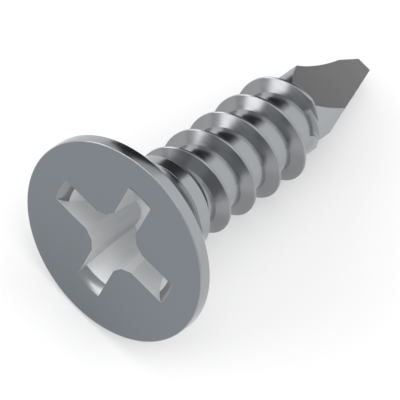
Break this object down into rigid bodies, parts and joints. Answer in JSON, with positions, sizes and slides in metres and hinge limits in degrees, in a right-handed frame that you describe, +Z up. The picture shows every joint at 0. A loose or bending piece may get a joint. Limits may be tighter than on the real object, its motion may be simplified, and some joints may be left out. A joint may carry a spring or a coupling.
{
  "type": "self drilling screw",
  "caption": "Countersunk self-drilling screw with a cross recess, a coarse thread and a fluted drill point, lying on its side.",
  "frame": {"origin": "bottom centre of the box round the lying screw, on the ground", "axes": "+X runs from the head towards the drill point, which dips by the screw's lean; +Z is up, and the screw lies as it comes to rest, on the edge of its head and its last turn of thread"},
  "size_m": [0.0136, 0.0072, 0.0072],
  "materials": {
    "steel": "bright plated steel"
  },
  "bodies": {
    "root": {"screw": "steel"}
  },
  "joints": []
}
